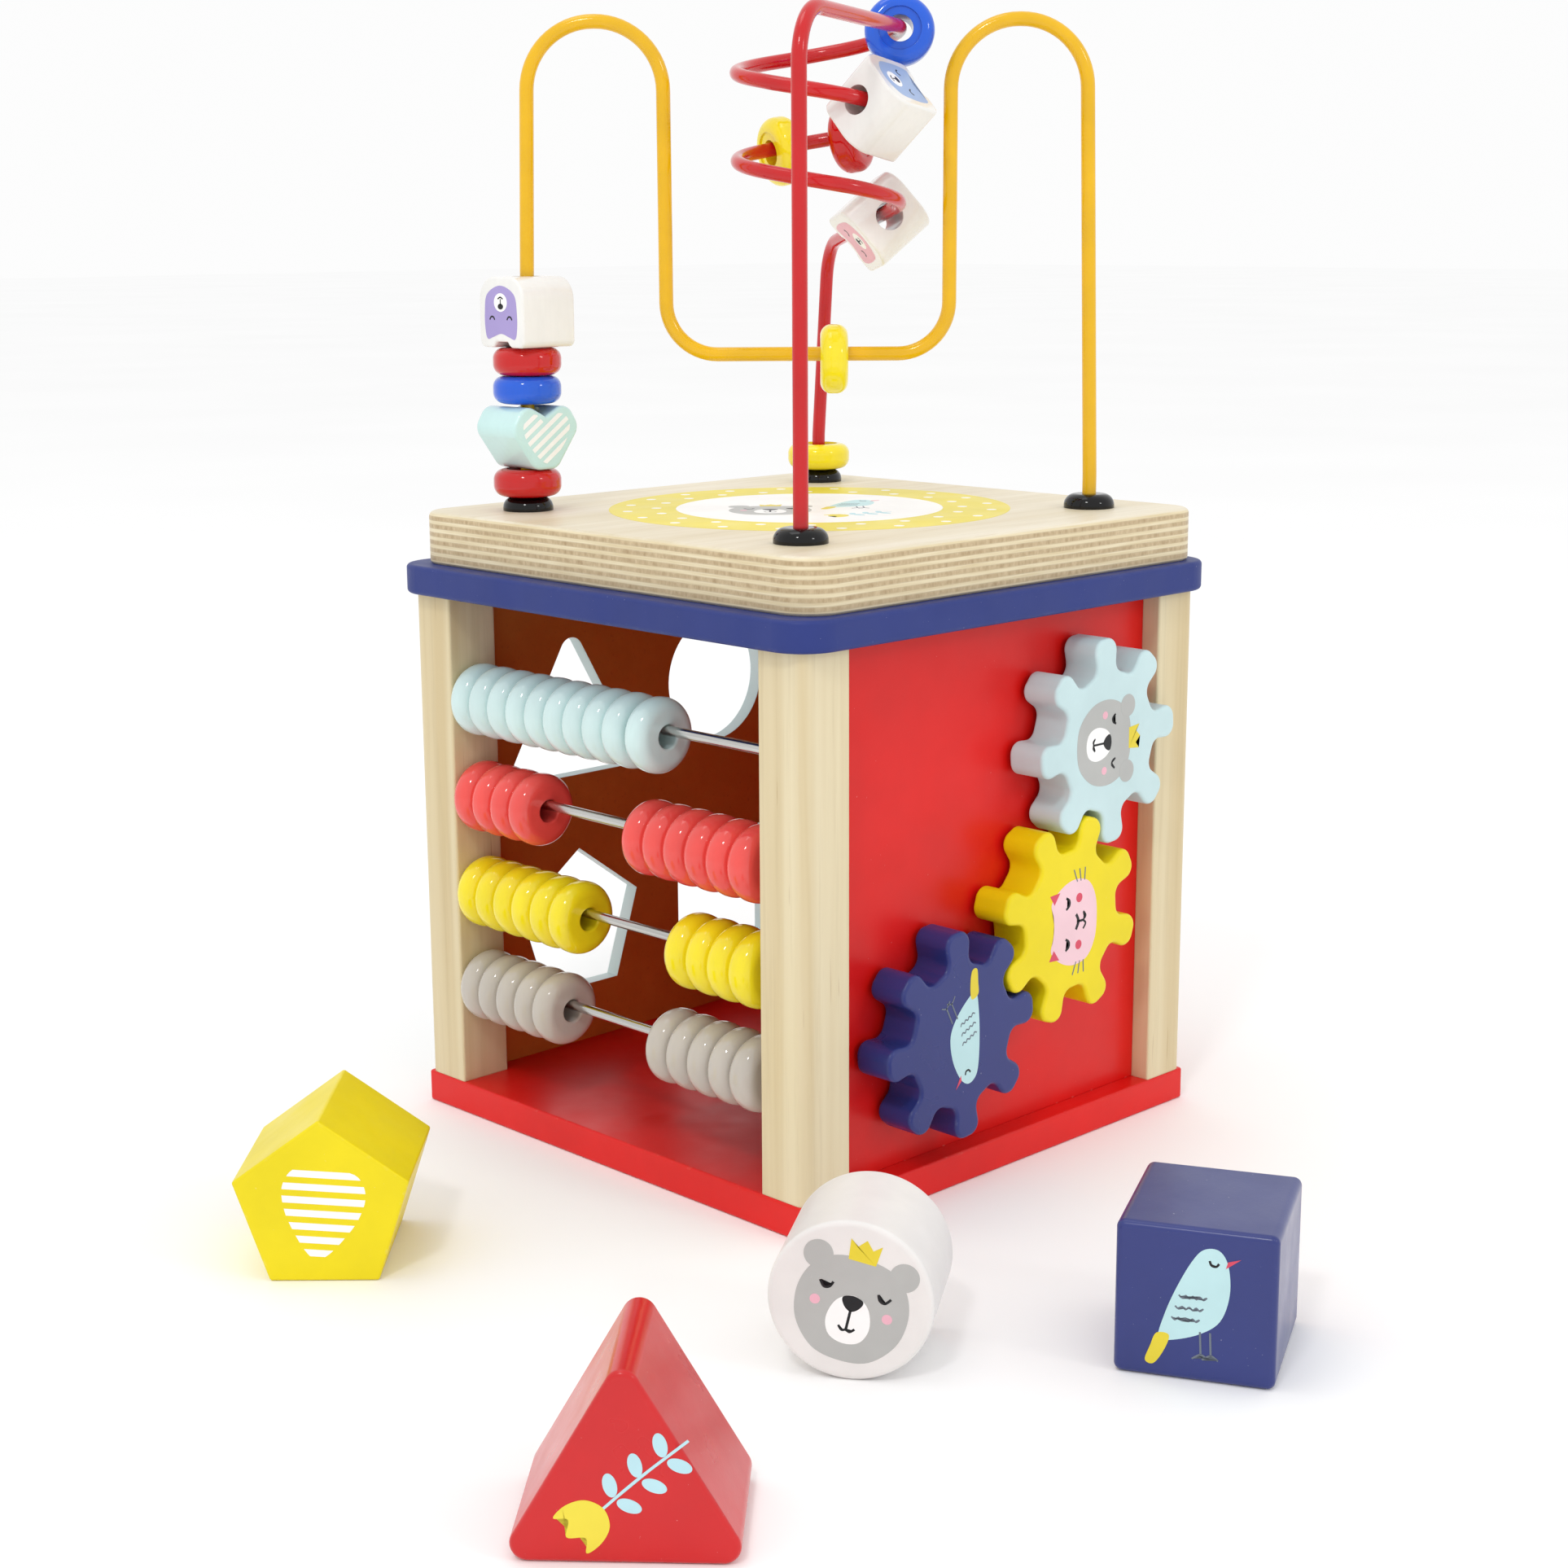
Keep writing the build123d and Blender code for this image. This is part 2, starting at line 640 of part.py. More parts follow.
level = lid_top + cap_height + stack_gap
stack = [("ring_red_lower", ring_thick), ("heart_mint", heart_height), ("ring_blue_left", ring_thick),
         ("ring_red_upper", ring_thick), ("head_violet", head_height)]
for bead_name, tall in stack:
    middle = leg_centre(level + tall / 2)
    if bead_name.startswith("ring"):
        keep(ring_bead(Plane(origin=middle, z_dir=(0, 0, 1))), bead_name)
    elif bead_name == "head_violet":
        keep(head_block(Plane(origin=middle, x_dir=(0, 1, 0), z_dir=(-1, 0, 0))), bead_name)
    else:
        with BuildPart() as heart:
            heart_back = Plane(origin=middle, x_dir=(1, 0, 0), z_dir=(0, -1, 0)).offset(-heart_depth / 2)
            with BuildSketch(heart_back) as outline:
                top = heart_height / 2
                Polygon((-5, -top), (5, -top), (15.5, 3), (9.5, top + 1), (0, top - 4),
                        (-9.5, top + 1), (-15.5, 3), align=None)
                fillet(outline.vertices().sort_by(Axis.Y)[:4], 5.0)
                fillet(outline.vertices().sort_by(Axis.Y)[-2:], 5.4)
            extrude(amount=heart_depth)
            fillet(heart.faces().sort_by(Axis.Y)[0].edges(), 1.2)
            fillet(heart.faces().sort_by(Axis.Y)[-1].edges(), 1.2)
            with BuildSketch(Plane(origin=middle)):
                Circle(ring_hole / 2)
            extrude(amount=heart_height, both=True, mode=Mode.SUBTRACT)
        keep(heart.part, bead_name)
    level += tall + stack_gap

ring_hang = (ring_hole - wire_dia) / 2 - 0.3     # a hanging ring's centre is this far below its wire
dip_middle = across(9.3, dip_height - ring_hang)
keep(ring_bead(Plane(origin=dip_middle, z_dir=(1, -1, 0))), "ring_yellow_dip")

foot_middle = (back_foot[0], back_foot[1], lid_top + cap_height + stack_gap + ring_thick / 2)
keep(ring_bead(Plane(origin=foot_middle, z_dir=(0, 0, 1))), "ring_yellow_foot")

helix_slope = helix_pitch / (2 * pi * helix_radius)


def helix_tangent(angle):
    """Direction of the wire along the falling helix."""
    return Vector(-sin(radians(angle)), cos(radians(angle)), -helix_slope).normalized()


helix_rings = {"ring_blue_helix": -45.0, "ring_red_helix": 360.0 + 20.0, "ring_yellow_helix": 360.0 + 73.0}
for bead_name, angle in helix_rings.items():
    place = Vector(*helix_point(angle, helix_radius)) - Vector(0, 0, ring_hang - 0.5)
    keep(ring_bead(Plane(origin=place, z_dir=helix_tangent(angle))), bead_name)
    print(bead_name, place, helix_tangent(angle))

# head block threaded on the helix: its hole follows the chord of the wire inside it
upper_angle = 360.0 - 85.0
chord_half = degrees(head_height / 2 / helix_radius)
sagitta = helix_radius * (1 - cos(radians(chord_half)))
upper_axis = helix_tangent(upper_angle)
upper_middle = Vector(*helix_point(upper_angle, helix_radius - sagitta / 2)) - Vector(0, 0, 1.0)
outward = Vector(cos(radians(upper_angle)), sin(radians(upper_angle)), 0)
upward = outward.cross(upper_axis).normalized()
if upward.Z < 0:
    upward = upward * -1
upper_print = (outward * sin(radians(45)) + upward * cos(radians(45))).normalized()
keep(head_block(Plane(origin=upper_middle, x_dir=upper_print.cross(upper_axis) * -1, z_dir=upper_print)),
     "head_blue")
print("head_blue", upper_middle, "hole along", upper_axis)

# head block on the straight run that falls from the helix to the back foot
run_start = Vector(*helix_corners[-1])
run_end = Vector(back_top[0], back_top[1], drop_height)
run_axis = (run_end - run_start).normalized()
lower_middle = run_start + run_axis * 33.0 - Vector(0, 0, (block_hole - wire_dia) / 2 - 0.5)
side_of_run = run_axis.cross(Vector(0, 0, 1)).normalized()
above_run = side_of_run.cross(run_axis).normalized()
lower_print = (side_of_run * -sin(radians(50)) - above_run * cos(radians(50))).normalized()
keep(head_block(Plane(origin=lower_middle, x_dir=lower_print.cross(run_axis) * -1, z_dir=lower_print)),
     "head_pink")
print("head_pink", lower_middle, "slides along", run_axis, "length", (run_end - run_start).length)

# ---------------------------------------------------------------- sorting blocks


def floor_plane(x, y, turn):
    """Upright plane of a block's printed end, standing on the floor and facing its viewer."""
    right = Vector(cos(radians(turn)), sin(radians(turn)), 0)
    return Plane(origin=(x, y, 0), x_dir=right, z_dir=(sin(radians(turn)), -cos(radians(turn)), 0))


def round_ends(block, plane, radius):
    """Round the edges of a prism's two end faces."""
    ends = Axis(plane.origin, plane.z_dir)
    fillet(block.faces().sort_by(ends)[-1].edges(), radius)
    fillet(block.faces().sort_by(ends)[0].edges(), radius)


cube_place = floor_plane(-92.8, -247.8, -62.9)
with BuildPart() as block_cube:
    with BuildSketch(cube_place) as outline:
        with Locations((0, cube_block / 2)):
            RectangleRounded(cube_block, cube_block, 2.5)
    extrude(amount=-block_lengths["cube"])
    round_ends(block_cube, cube_place, 2.0)
keep(block_cube.part, "block_cube")

pentagon_place = floor_plane(-225.9, -13.6, -44.5)
with BuildPart() as block_pentagon:
    with BuildSketch(pentagon_place) as outline:
        with Locations((0, pentagon_radius * cos(pi / 5))):
            RegularPolygon(pentagon_radius, 5, rotation=90)
        fillet(outline.vertices(), 1.0)
    extrude(amount=-block_lengths["pentagon"])
    round_ends(block_pentagon, pentagon_place, 0.8)
keep(block_pentagon.part, "block_pentagon")

triangle_place = floor_plane(-272.7, -209.8, -47.2)
with BuildPart() as block_triangle:
    with BuildSketch(triangle_place) as outline:
        with Locations((0, triangle_side * sqrt(3) / 6)):
            RegularPolygon(triangle_side / sqrt(3), 3, rotation=90)
        fillet(outline.vertices(), 4.5)
    extrude(amount=-block_lengths["triangle"])
    round_ends(block_triangle, triangle_place, 1.5)
keep(block_triangle.part, "block_triangle")

cylinder_place = floor_plane(-160.8, -178.5, -55.7)
with BuildPart() as block_cylinder:
    with BuildSketch(cylinder_place):
        with Locations((0, cylinder_dia / 2)):
            Circle(cylinder_dia / 2)
    extrude(amount=-block_lengths["cylinder"])
    round_ends(block_cylinder, cylinder_place, 1.6)
keep(block_cylinder.part, "block_cylinder")
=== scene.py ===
"""Looks of the wooden activity cube: camera, studio, procedural materials and printed decorations."""
import json
from math import cos, pi, radians, sin, sqrt

import bmesh
import bpy
from mathutils import Matrix, Vector


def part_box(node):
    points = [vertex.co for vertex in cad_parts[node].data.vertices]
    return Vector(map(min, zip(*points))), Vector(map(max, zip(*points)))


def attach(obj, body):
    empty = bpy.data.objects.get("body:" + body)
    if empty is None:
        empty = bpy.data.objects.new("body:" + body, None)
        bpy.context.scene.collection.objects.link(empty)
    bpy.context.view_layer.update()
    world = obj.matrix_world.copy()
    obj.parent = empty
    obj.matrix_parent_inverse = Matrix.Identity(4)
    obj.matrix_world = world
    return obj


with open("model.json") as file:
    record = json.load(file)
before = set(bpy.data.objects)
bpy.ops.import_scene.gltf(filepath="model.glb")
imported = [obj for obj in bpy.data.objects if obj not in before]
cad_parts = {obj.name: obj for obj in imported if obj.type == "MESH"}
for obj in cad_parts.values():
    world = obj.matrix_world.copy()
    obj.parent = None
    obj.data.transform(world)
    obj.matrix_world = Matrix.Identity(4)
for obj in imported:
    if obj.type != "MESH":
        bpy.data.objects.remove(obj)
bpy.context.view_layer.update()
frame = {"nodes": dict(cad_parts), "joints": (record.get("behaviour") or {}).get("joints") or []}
scene = bpy.context.scene
nodes = frame["nodes"]
MM = 0.001

# ------------------------------------------------------------------ camera and studio

eye = Vector((-0.6422, -0.6434, 0.3211))
aim = Vector((0.02912, 0.04036, 0.110))
look = (aim - eye).normalized()
side = look.cross(Vector((0, 0, 1))).normalized()
head = side.cross(look)
roll = radians(-0.32)
cam_x = side * cos(roll) + head * sin(roll)
cam_y = head * cos(roll) - side * sin(roll)
camera = bpy.data.objects.new("camera", bpy.data.cameras.new("camera"))
camera.data.lens = 58.36
camera.data.sensor_width = 36
camera.data.clip_end = 60
camera.matrix_world = Matrix((
    (cam_x.x, cam_y.x, -look.x, eye.x),
    (cam_x.y, cam_y.y, -look.y, eye.y),
    (cam_x.z, cam_y.z, -look.z, eye.z),
    (0, 0, 0, 1)))
scene.collection.objects.link(camera)
scene.camera = camera
scene.view_settings.view_transform = "Standard"
scene.view_settings.look = "None"


def area_light(name, place, target, size, power):
    data = bpy.data.lights.new(name, "AREA")
    data.energy = power
    data.size = size
    lamp = bpy.data.objects.new(name, data)
    lamp.location = place
    lamp.rotation_euler = (Vector(target) - Vector(place)).to_track_quat("-Z", "Y").to_euler()
    scene.collection.objects.link(lamp)


area_light("key", (-1.3, -0.7, 1.6), (0, 0, 0.15), 0.22, 5.5)
area_light("fill", (0.3, -1.8, 1.1), (0, 0, 0.15), 0.25, 2.5)
area_light("top", (-0.3, 0.3, 1.9), (0, 0, 0.1), 0.7, 2.5)

world = bpy.data.worlds.new("studio")
scene.world = world
world.use_nodes = True
world.node_tree.nodes["Background"].inputs[0].default_value = (1, 1, 1, 1)
world.node_tree.nodes["Background"].inputs[1].default_value = 0.98

# ------------------------------------------------------------------ material helpers


def lin(code):
    """Linear colour of an sRGB hex code."""
    values = [int(code[i:i + 2], 16) / 255 for i in (1, 3, 5)]
    return tuple(v / 12.92 if v <= 0.04045 else ((v + 0.055) / 1.055) ** 2.4 for v in values) + (1,)


class Tree:
    """A material's node tree with short calls for the nodes that every material here uses."""

    def __init__(self, name, rough=0.4, coat=0.0, coat_rough=0.1, metal=0.0, spec=0.5):
        self.material = bpy.data.materials.new(name)
        self.material.use_nodes = True
        self.tree = self.material.node_tree
        self.shader = self.tree.nodes["Principled BSDF"]
        for key, value in (("Roughness", rough), ("Coat Weight", coat), ("Coat Roughness", coat_rough),
                           ("Metallic", metal), ("Specular IOR Level", spec)):
            self.shader.inputs[key].default_value = value
        self.coords = self.tree.nodes.new("ShaderNodeTexCoord").outputs["Object"]

    def link(self, a, b):
        self.tree.links.new(a, b)

    def put(self, socket, value):
        if isinstance(value, bpy.types.NodeSocket):
            self.link(value, socket)
        else:
            socket.default_value = value

    def noise(self, scale, detail=3.0, stretch=(1, 1, 1), distortion=0.0, rough=0.5):
        place = self.tree.nodes.new("ShaderNodeMapping")
        place.inputs["Scale"].default_value = stretch
        self.link(self.coords, place.inputs["Vector"])
        node = self.tree.nodes.new("ShaderNodeTexNoise")
        node.inputs["Scale"].default_value = scale
        node.inputs["Detail"].default_value = detail
        node.inputs["Roughness"].default_value = rough
        node.inputs["Distortion"].default_value = distortion
        self.link(place.outputs[0], node.inputs["Vector"])
        return node.outputs["Fac"]

    def ramp(self, value, low, high, a=0.0, b=1.0):
        node = self.tree.nodes.new("ShaderNodeMapRange")
        node.inputs["From Min"].default_value = low
        node.inputs["From Max"].default_value = high
        node.inputs["To Min"].default_value = a
        node.inputs["To Max"].default_value = b
        self.link(value, node.inputs["Value"])
        return node.outputs[0]

    def math(self, kind, a, b=0.0):
        node = self.tree.nodes.new("ShaderNodeMath")
        node.operation = kind
        self.put(node.inputs[0], a)
        self.put(node.inputs[1], b)
        return node.outputs[0]

    def mix(self, factor, a, b):
        node = self.tree.nodes.new("ShaderNodeMix")
        node.data_type = "RGBA"
        self.put(node.inputs[0], factor)
        self.put(node.inputs[6], a)
        self.put(node.inputs[7], b)
        return node.outputs[2]

    def split(self, vector):
        node = self.tree.nodes.new("ShaderNodeSeparateXYZ")
        self.link(vector, node.inputs[0])
        return node.outputs

    def bevel(self, radius):
        node = self.tree.nodes.new("ShaderNodeBevel")
        node.samples = 4
        node.inputs["Radius"].default_value = radius
        return node.outputs[0]

    def normal(self):
        return self.tree.nodes.new("ShaderNodeNewGeometry").outputs["True Normal"]

    def edges(self, radius, low=0.02, high=0.2):
        """1 on sharp convex edges, 0 on flats."""
        dot = self.tree.nodes.new("ShaderNodeVectorMath")
        dot.operation = "DOT_PRODUCT"
        self.link(self.bevel(radius), dot.inputs[0])
        self.link(self.normal(), dot.inputs[1])
        return self.ramp(self.math("SUBTRACT", 1.0, dot.outputs["Value"]), low, high)

    def bump(self, height, depth, soften=0.0):
        node = self.tree.nodes.new("ShaderNodeBump")
        node.inputs["Strength"].default_value = 1.0
        node.inputs["Distance"].default_value = depth
        self.link(height, node.inputs["Height"])
        if soften:
            self.link(self.bevel(soften), node.inputs["Normal"])
        self.link(node.outputs[0], self.shader.inputs["Normal"])

    def color(self, value):
        self.link(value, self.shader.inputs["Base Color"])

    def rough(self, value):
        self.link(value, self.shader.inputs["Roughness"])


def shade(code, factor):
    """A hex colour made lighter or darker."""
    value = lin(code)
    return tuple(min(1.0, v * factor) for v in value[:3]) + (1,)


def paint(name, code, rough=0.32, coat=0.06, wear=None, soften=0.0006, dust=0.5, pores=0.00002):
    """Brushed or sprayed paint on wood: faint mottling, orange peel, and wear on edges."""
    t = Tree(name, rough=rough, coat=coat, coat_rough=0.18, spec=0.30)
    cloud = t.ramp(t.noise(28, 4, rough=0.6), 0.3, 0.7)
    tone = t.mix(cloud, shade(code, 0.93), shade(code, 1.05))
    speck = t.ramp(t.noise(900, 2), 0.74, 0.80, 0.0, dust * 0.35)
    tone = t.mix(speck, tone, lin("#ffffff"))
    if wear:
        chips = t.math("MULTIPLY", t.edges(0.0012), t.ramp(t.noise(260, 3), 0.60, 0.66))
        tone = t.mix(chips, tone, lin(wear))
    t.color(tone)
    t.rough(t.ramp(t.noise(60, 3), 0.3, 0.7, rough * 0.85, rough * 1.2))
    t.bump(t.noise(700, 3, rough=0.6), pores, soften)
    return t.material


def lacquer(name, code, rough=0.10, coat=0.4, grain=0.35):
    """Thick gloss lacquer on a turned wooden bead, with the wood just telling through."""
    t = Tree(name, rough=rough, coat=coat, coat_rough=0.03, spec=0.35)
    cloud = t.ramp(t.noise(40, 3), 0.3, 0.7)
    tone = t.mix(cloud, shade(code, 0.92), shade(code, 1.04))
    lines = t.ramp(t.noise(90, 4, stretch=(6, 6, 0.7)), 0.45, 0.75, 0.0, grain * 0.35)
    tone = t.mix(lines, tone, shade(code, 0.80))
    t.color(tone)
    t.bump(t.noise(160, 3), 0.00005, 0.0004)
    return t.material


def timber(name, pale, dark, stretch, rough=0.45, depth=0.00004, flecks=0.5):
    """Clear-varnished pale wood: growth bands, fine pores and short dark flecks. Returns its Tree."""
    t = Tree(name, rough=rough, coat=0.12, coat_rough=0.3)
    flow = t.noise(1.0, 3, stretch=stretch, distortion=0.4)
    fine = t.noise(3.2, 5, stretch=stretch, rough=0.7)
    tone = t.mix(t.ramp(flow, 0.32, 0.68), lin(pale), lin(dark))
    tone = t.mix(t.ramp(fine, 0.50, 0.78, 0.0, 0.45), tone, shade(dark, 0.80))
    thin = tuple(4.0 * v for v in stretch)
    fleck = t.ramp(t.noise(2.2, 2, stretch=thin), 0.70, 0.76, 0.0, flecks)
    tone = t.mix(fleck, tone, lin("#a07d4d"))
    t.color(tone)
    t.rough(t.ramp(fine, 0.3, 0.7, rough * 0.9, rough * 1.25))
    t.bump(fine, depth, 0.0007)
    return t


def metal(name, code, rough=0.25, stretch=(1, 1, 1)):
    t = Tree(name, rough=rough, metal=1.0)
    lines = t.noise(800, 3, stretch=stretch)
    t.color(t.mix(t.ramp(lines, 0.3, 0.7), shade(code, 0.80), shade(code, 1.1)))
    t.rough(t.ramp(lines, 0.3, 0.7, rough * 0.7, rough * 1.5))
    t.bump(lines, 0.00001)
    return t.material


def enamel(name, code):
    """Gloss powder coat on steel wire."""
    t = Tree(name, rough=0.16, coat=0.3, coat_rough=0.04, spec=0.35)
    t.color(t.mix(t.ramp(t.noise(60, 3), 0.3, 0.7), shade(code, 0.92), shade(code, 1.04)))
    t.bump(t.noise(900, 2), 0.00003)
    return t.material


def moulded(name, code, rough=0.12):
    t = Tree(name, rough=rough, coat=0.0, spec=0.35)
    t.color(t.mix(t.ramp(t.noise(90, 3), 0.3, 0.7), shade(code, 0.9), shade(code, 1.1)))
    t.bump(t.noise(300, 2), 0.00002, 0.0003)
    return t.material


# ------------------------------------------------------------------ materials of the CAD pieces

red_board = paint("red_board", "#db1410", rough=0.36, coat=0.06, wear="#e9a79a", soften=0.0008)
base_paint = paint("base_paint", "#de1916", rough=0.34, coat=0.0, dust=0.0, wear="#edb3a4", soften=0.0010)
frame_paint = paint("frame_paint", "#27367a", rough=0.48, coat=0.03, wear="#c9cbdc", soften=0.0010)

upright = timber("post_wood", "#e3d6b3", "#d0bc90", (90, 90, 2.6)).material
axle_wood = timber("axle_wood", "#e4d3ab", "#cbb184", (260, 6, 260)).material

# plywood lid: veneer on the faces, thin plies of alternating grain on the edges
t = timber("lid_plywood", "#e9e0c9", "#ddd0b0", (5, 70, 70), rough=0.42, depth=0.00002, flecks=0.18)
tone_face = t.shader.inputs["Base Color"].links[0].from_socket
low_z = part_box("lid_block")[0][2]
high_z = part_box("lid_block")[1][2]
ply_count = 13.0
wobble = t.noise(9, 2, stretch=(1, 1, 0.2))
level = t.math("ADD", t.ramp(t.split(t.coords)[2], low_z, high_z, 0.0, ply_count),
               t.ramp(wobble, 0.3, 0.7, -0.10, 0.10))
wave = t.ramp(t.math("SINE", t.math("MULTIPLY", level, pi)), -0.55, 0.55)
long_grain = t.noise(1.0, 4, stretch=(30, 30, 900), rough=0.65)
cross_grain = t.noise(1.0, 4, stretch=(420, 420, 160), rough=0.7)
pale_ply = t.mix(t.ramp(long_grain, 0.35, 0.7), lin("#e9dcba"), lin("#d4c196"))
dark_ply = t.mix(t.ramp(cross_grain, 0.35, 0.7), lin("#cdb892"), lin("#a98f68"))
tone_edge = t.mix(wave, dark_ply, pale_ply)
line = t.math("ABSOLUTE", t.math("SUBTRACT", t.math("FRACT", level), 0.5))
tone_edge = t.mix(t.ramp(line, 0.42, 0.49, 0.0, 0.35), tone_edge, lin("#8d7350"))
up = t.math("ABSOLUTE", t.split(t.normal())[2])
t.color(t.mix(t.ramp(up, 0.6, 0.8), tone_edge, tone_face))
lid_ply = t.material

# sorter panel: pale paint on its face and in its holes; inside, a colour that is partly the bare board's own
# brown and partly painted red bounce light
t = Tree("sorter_board", rough=0.42, coat=0.1, coat_rough=0.3)
inward = t.split(t.normal())[1]
# inside colour: the board's brown pushed to orange-red by painted bounce light from the red parts; the darker
# flecks below are the board's own
bare_with_painted_bounce = t.mix(t.ramp(t.noise(22, 5, rough=0.7), 0.3, 0.7), lin("#c5702c"), lin("#d58238"))
bare_with_painted_bounce = t.mix(t.ramp(t.noise(700, 3), 0.62, 0.75, 0, 0.35), bare_with_painted_bounce, lin("#9a4a1c"))
mint = t.mix(t.ramp(t.noise(28, 4), 0.3, 0.7), lin("#cfe6e6"), lin("#dceeee"))
t.color(t.mix(t.ramp(inward, -0.9, -0.6), bare_with_painted_bounce, mint))
t.bump(t.noise(500, 3), 0.00004, 0.0006)
sorter_board = t.material

plug_wood = timber("plug_wood", "#e3d3ab", "#cdb688", (5, 60, 60), rough=0.6).material
steel = metal("screw_steel", "#b4b5b8", 0.3)
rod_steel = metal("rod_steel", "#c4c3c0", 0.16, stretch=(1, 0.03, 1))
ivory = moulded("ivory_plastic", "#efece2", 0.25)
black = moulded("black_plastic", "#060607", 0.06)
mint_lacquer = lacquer("mint_lacquer", "#cfe7e6")
coral_lacquer = lacquer("coral_lacquer", "#ee524c")
yellow_lacquer = lacquer("yellow_lacquer", "#f6e31f")
grey_lacquer = lacquer("grey_lacquer", "#c2bbb2")
red_lacquer = lacquer("red_lacquer", "#c70a0a")
blue_lacquer = lacquer("blue_lacquer", "#155bd6")
cream_lacquer = lacquer("cream_lacquer", "#edece8", rough=0.2, coat=0.5)
heart_lacquer = lacquer("heart_lacquer", "#c5e6e3", rough=0.2, coat=0.5)

looks = {
    base_paint: ["base_plate"],
    frame_paint: ["top_frame"],
    red_board: ["gear_panel", "clock_panel"],
    upright: ["post_front", "post_left", "post_right", "post_back"],
    steel: ["base_screws", "frame_screws", "lid_screws", "retainer_yellow", "retainer_mint", "retainer_blue"],
    ivory: ["gear_spacers", "clock_pin", "clock_pin_washer"],
    axle_wood: ["axle_yellow", "axle_mint", "axle_blue"],
    rod_steel: ["abacus_rods"],
    lid_ply: ["lid_block"],
    plug_wood: ["lid_plug"],
    sorter_board: ["sorter_panel"],
    black: ["wire_cap_front", "wire_cap_left", "wire_cap_right", "wire_cap_back"],
    mint_lacquer: ["beads_mint_left"],
    coral_lacquer: ["beads_coral_left", "beads_coral_right"],
    yellow_lacquer: ["beads_yellow_left", "beads_yellow_right", "ring_yellow_dip", "ring_yellow_foot",
                     "ring_yellow_helix"],
    grey_lacquer: ["beads_grey_left", "beads_grey_right"],
    red_lacquer: ["ring_red_lower", "ring_red_upper", "ring_red_helix"],
    blue_lacquer: ["ring_blue_left", "ring_blue_helix"],
    cream_lacquer: ["head_violet", "head_blue", "head_pink"],
    heart_lacquer: ["heart_mint"],
    enamel("orange_enamel", "#e7b402"): ["wire_orange"],
    enamel("red_enamel", "#c61218"): ["wire_red"],
    paint("mint_gear_paint", "#c6dfe1", wear="#ffffff", rough=0.36): ["gear_mint"],
    paint("yellow_gear_paint", "#edd808", wear="#fbf3b0", rough=0.36): ["gear_yellow"],
    paint("blue_gear_paint", "#2b3577", wear="#c9cbe0", rough=0.30, coat=0.2): ["gear_blue"],
    paint("hand_paint", "#f2dd1c", rough=0.36): ["hour_hand", "minute_hand"],
    paint("cube_paint", "#2a3578", wear="#b9bedb", rough=0.34, coat=0.4): ["block_cube"],
    paint("pentagon_paint", "#ecd808", wear="#faf2b4", rough=0.40): ["block_pentagon"],
    paint("triangle_paint", "#cb1418", wear="#f0a9a4", rough=0.30, coat=0.4): ["block_triangle"],
    paint("cylinder_paint", "#e9e6e3", rough=0.40): ["block_cylinder"],
}
for material, names in looks.items():
    for name in names:
        mesh = nodes[name].data
        mesh.materials.clear()
        mesh.materials.append(material)

# ------------------------------------------------------------------ printed decorations

inks = {name: paint("ink_" + name, code, rough=0.42, coat=0.1, soften=0.0, dust=0.2, pores=0.000005)
        for name, code in {
            "grey": "#b6b7b4", "white": "#fbfaf8", "black": "#17181b", "gold": "#e6d239", "pink": "#f1cbd3",
            "rose": "#d84a62", "mint": "#bfe3e6", "sky": "#b8dfe8", "lemon": "#ead944", "violet": "#a99ad1",
            "cloud": "#9db5dc", "blush": "#ecb3c2", "slate": "#6b7480"}.items()}


def ellipse(x, y, rx, ry=None, turn=0.0, count=40):
    ry = rx if ry is None else ry
    c, s = cos(radians(turn)), sin(radians(turn))
    ring = [(rx * cos(2 * pi * n / count), ry * sin(2 * pi * n / count)) for n in range(count)]
    return [(x + c * u - s * v, y + s * u + c * v) for u, v in ring]


def smooth(points, closed=True, cuts=6):
    """Catmull-Rom curve through points."""
    count = len(points)
    result = []
    spans = count if closed else count - 1
    for n in range(spans):
        near = [(n + k) % count if closed else min(max(n + k, 0), count - 1) for k in (-1, 0, 1, 2)]
        p = [points[index] for index in near]
        for cut in range(cuts):
            f = cut / cuts
            result.append(tuple(
                0.5 * (2 * p[1][i] + (p[2][i] - p[0][i]) * f
                       + (2 * p[0][i] - 5 * p[1][i] + 4 * p[2][i] - p[3][i]) * f * f
                       + (3 * p[1][i] - p[0][i] - 3 * p[2][i] + p[3][i]) * f ** 3) for i in (0, 1)))
    if not closed:
        result.append(tuple(points[-1]))
    return result


def stroke(points, width, cuts=5):
    """A line of even width along a smooth open curve, as one outline."""
    path = smooth(points, closed=False, cuts=cuts)
    left, right = [], []
    for n, (x, y) in enumerate(path):
        a, b = path[max(n - 1, 0)], path[min(n + 1, len(path) - 1)]
        dx, dy = b[0] - a[0], b[1] - a[1]
        size = sqrt(dx * dx + dy * dy) or 1.0
        left.append((x - dy / size * width / 2, y + dx / size * width / 2))
        right.append((x + dy / size * width / 2, y - dx / size * width / 2))
    return left + right[::-1]


def turned(shapes, turn, scale, shift):
    """Shapes turned by degrees, scaled and then moved."""
    c, s = cos(radians(turn)) * scale, sin(radians(turn)) * scale
    return [(ink, layer, [(shift[0] + c * x - s * y, shift[1] + s * x + c * y) for x, y in outline])
            for ink, layer, outline in shapes]


def area_of(outline):
    return sum(a[0] * b[1] - b[0] * a[1] for a, b in zip(outline, outline[1:] + outline[:1])) / 2


ink_sunk = 0.00003                   # a flake's underside lies this far inside the face
ink_thick = 0.00006                  # and its top this far outside it
ink_step = 0.00003                   # by which each further layer stands prouder


